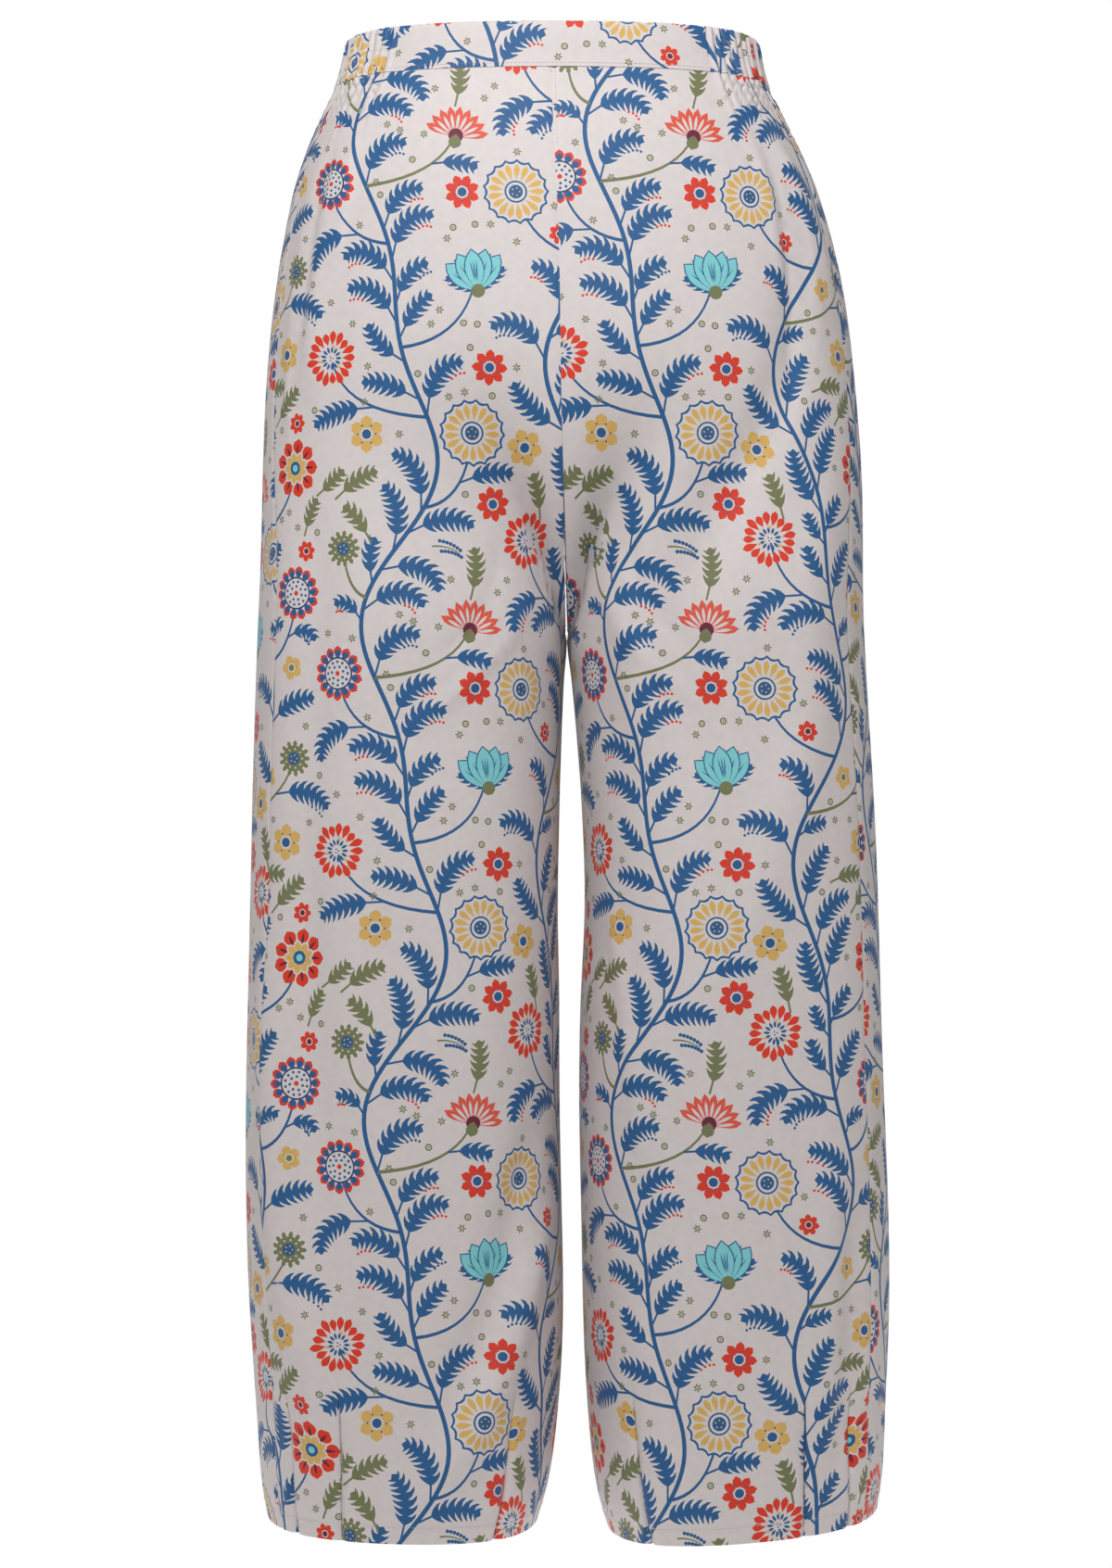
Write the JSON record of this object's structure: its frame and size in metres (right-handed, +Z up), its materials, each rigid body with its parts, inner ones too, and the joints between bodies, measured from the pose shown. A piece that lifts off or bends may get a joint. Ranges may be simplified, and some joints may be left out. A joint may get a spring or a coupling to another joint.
{
  "type": "wide-leg trousers",
  "caption": "Pull-on wide-leg trousers in worn hollow form, flat front waistband, elasticated back, tucked hems.",
  "frame": {"origin": "middle of the waistband's ring, halfway up the band, where the garment is held", "axes": "+Z up along the legs, +Y to the wearer's back, +X to the wearer's left"},
  "size_m": [0.4335, 0.268, 0.9947],
  "materials": {
    "printed_viscose": "light plain weave, printed, soft low sheen",
    "waistband_viscose": "the same cloth, interfaced in front and gathered on elastic behind"
  },
  "bodies": {
    "root": {"front_left": "printed_viscose", "front_right": "printed_viscose", "back_left": "printed_viscose", "back_right": "printed_viscose", "waistband_front": "waistband_viscose", "waistband_back": "waistband_viscose"}
  },
  "joints": []
}
